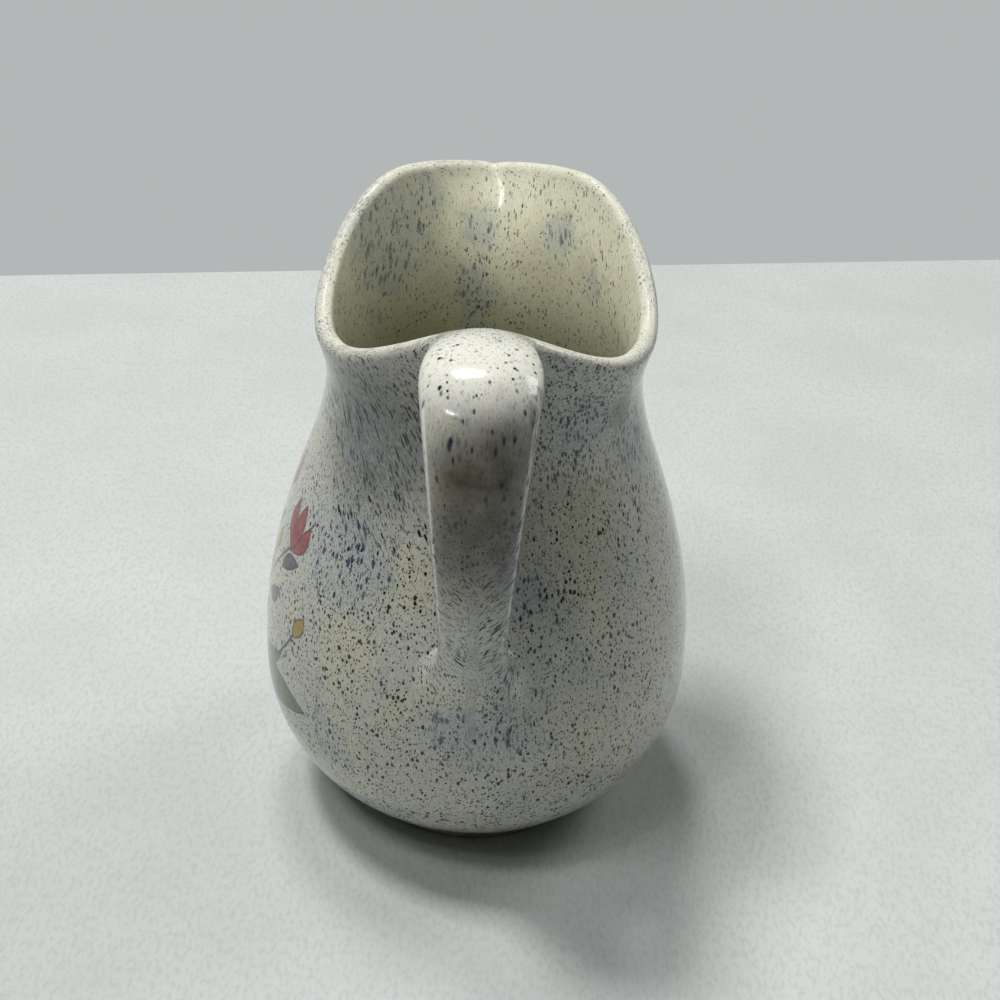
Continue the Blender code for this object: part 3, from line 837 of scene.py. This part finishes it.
for i in range(RING_STEPS):
    this_loop, next_loop = loops[i], loops[(i + 1) % RING_STEPS]
    for j in range(len(ring_outline)):
        k = (j + 1) % len(ring_outline)
        ring_build.faces.new((this_loop[j], next_loop[j], next_loop[k], this_loop[k]))
bmesh.ops.recalc_face_normals(ring_build, faces=ring_build.faces[:])
ring_mesh = bpy.data.meshes.new("bare_foot_ring")
ring_build.to_mesh(ring_mesh)
ring_build.free()
ring_mesh.shade_smooth()
ring_mesh.set_sharp_from_angle(angle=math.radians(50))

clay, clay_shader, clay_place = new_material("bare_stoneware")
grit = noise(clay_place, 0.0007, 3.0, 0.65)
toast = noise(clay_place, 0.011, 2.0)
# The ring's clay is painted much darker than bare stoneware, as painted shade where it stands under the
# jug's belly.
clay_colour = paint(SHADED_BARE_CLAY, toast.ease(0.35, 0.65) * 0.6, TOASTED)
clay_colour = paint(clay_colour, grit.ease(0.58, 0.72) * 0.7, GRITTY)
clay_bump = clay_place.add("ShaderNodeBump", None, {"Strength": 0.5, "Distance": 0.0002, "Height": grit})
feed(clay_shader, {"Base Color": clay_colour, "Roughness": 0.72 + 0.2 * grit, "Normal": clay_bump})
ring_mesh.materials.append(clay)
foot_ring = new_object("bare_foot_ring", ring_mesh)
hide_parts("foot_ring")
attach(foot_ring, "root")

# The stage: a pale matt table top that ends a little way behind the jug, with a plain pale room round it.
# A soft lamp hangs overhead to the left, four weaker ones stand round the jug, and the room fills the
# shade. Two of the lamps leave no highlights on the glaze.

TABLE_HALF = 1
TABLE_DROP = -0.0002
TABLE_BACK = 0.358
TABLE_SLANT = 0.143
TABLE_PALE = (0.555, 0.585, 0.58, 1)
TABLE_WORN = (0.595, 0.625, 0.615, 1)
TABLE_WEAVE = (0.47, 0.495, 0.49, 1)
ROOM_COLOUR = (0.45, 0.475, 0.475, 1)
ROOM_FILL = 0.06
LAMP_COLOUR = (1.0, 0.99, 0.97)
LAMP_AIM = AXIS + Vector((0, 0, 0.07))
LAMP_DISTANCE = 1.9
NO_HIGHLIGHT = ("overhead_lamp", "lamp_at_left")
table_mesh = bpy.data.meshes.new("table_top")
table_corners = [
    (-TABLE_HALF, -TABLE_HALF, TABLE_DROP),
    (TABLE_HALF, -TABLE_HALF, TABLE_DROP),
    (TABLE_HALF, TABLE_BACK + TABLE_SLANT, TABLE_DROP),
    (-TABLE_HALF, TABLE_BACK - TABLE_SLANT, TABLE_DROP),
]
table_mesh.from_pydata(table_corners, [], [(0, 1, 2, 3)])
table = new_object("table_top", table_mesh)
cloth, cloth_shader, cloth_place = new_material("pale_table")
worn = noise(cloth_place, 0.05, 3.0)
weave = noise(cloth_place, 0.0011, 2.0, 0.6, (1, 0.5, 1))
cloth_colour = paint(TABLE_PALE, worn.ease(0.3, 0.7), TABLE_WORN)
cloth_colour = paint(cloth_colour, weave.ease(0.42, 0.70) * 0.6, TABLE_WEAVE)
feed(cloth_shader, {"Base Color": cloth_colour, "Roughness": 0.8, "Specular IOR Level": 0.2})
table_mesh.materials.append(cloth)

room = bpy.data.worlds.new("pale_room")
room.use_nodes = True
facing = Strand(room.node_tree).add("ShaderNodeTexCoord", None, None, "Generated")
facing = facing.add("ShaderNodeSeparateXYZ", None, {0: facing}, "Y")
ray = facing.add("ShaderNodeLightPath", None, None, "Is Camera Ray")
mirrored = ray.out("Is Glossy Ray")
seen = ray.math("MAXIMUM", 0.3 * mirrored)
seen = seen.math("MAXIMUM", ray.out("Is Transmission Ray"))
seen = seen.math("MAXIMUM", mirrored * facing.ease(-0.2, 0.5))
room_strength = ROOM_FILL + (1 - ROOM_FILL) * seen
feed(room.node_tree.nodes["Background"], {"Strength": room_strength, "Color": ROOM_COLOUR})
bpy.context.scene.world = room

for name, azimuth, elevation, width, depth, power in (
    ("overhead_lamp", 163, 70, 0.36, 0.30, 21.5),
    ("lamp_at_left", 222, 62, 0.30, 0.30, 7.0),
    ("lamp_behind", 108, 70, 0.33, 0.30, 10.5),
    ("lamp_at_right", 26, 45, 0.80, 0.80, 8.0),
    ("lamp_in_front", 238, 56, 0.36, 0.08, 2.0),
):
    lamp = bpy.data.lights.new(name, "AREA")
    lamp.shape = "RECTANGLE"
    lamp.size = width
    lamp.size_y = depth
    lamp.energy = power
    lamp.color = LAMP_COLOUR
    turn, rise = math.radians(azimuth), math.radians(elevation)
    towards = Vector((math.cos(turn) * math.cos(rise), math.sin(turn) * math.cos(rise), math.sin(rise)))
    lamp_object = new_object(name, lamp)
    lamp_object.location = LAMP_AIM + towards * LAMP_DISTANCE
    lamp_object.rotation_euler = (-towards).to_track_quat("-Z", "Y").to_euler()
    lamp_object.visible_glossy = name not in NO_HIGHLIGHT

# The camera: close behind the handle and looking down on the jug by 31 degrees, with a small roll. The
# jug stands a little left of the picture's middle and below it.

VIEW_DOWN = math.radians(31)
VIEW_TURN = math.radians(0.17)
VIEW_ROLL = math.radians(2.28)
VIEW_DISTANCE = 0.37275
VIEW_TARGET = AXIS + Vector((0, 0, 0.07725))
LENS_IN_WIDTHS = 1.5
SENSOR_WIDTH = 36
LEFT_IN_WIDTHS = 0.0191
BELOW_IN_WIDTHS = 0.01489
forward = Vector((
    math.sin(VIEW_TURN) * math.cos(VIEW_DOWN),
    math.cos(VIEW_TURN) * math.cos(VIEW_DOWN),
    -math.sin(VIEW_DOWN),
))
right = Vector((math.cos(VIEW_TURN), -math.sin(VIEW_TURN), 0))
up = right.cross(forward)
picture_width = VIEW_DISTANCE / LENS_IN_WIDTHS
view_from = VIEW_TARGET - forward * VIEW_DISTANCE
view_from += (right * LEFT_IN_WIDTHS + up * BELOW_IN_WIDTHS) * picture_width
rolled_right = right * math.cos(VIEW_ROLL) + up * math.sin(VIEW_ROLL)
rolled_up = up * math.cos(VIEW_ROLL) - right * math.sin(VIEW_ROLL)
camera = bpy.data.cameras.new("camera")
camera.sensor_width = SENSOR_WIDTH
camera.lens = SENSOR_WIDTH * LENS_IN_WIDTHS
camera.clip_start = 0.01
camera_object = new_object("camera", camera)
turned_to = Matrix((rolled_right, rolled_up, -forward)).transposed().to_4x4()
camera_object.matrix_world = Matrix.Translation(view_from) @ turned_to
bpy.context.scene.camera = camera_object
bpy.context.scene.view_settings.view_transform = "Standard"
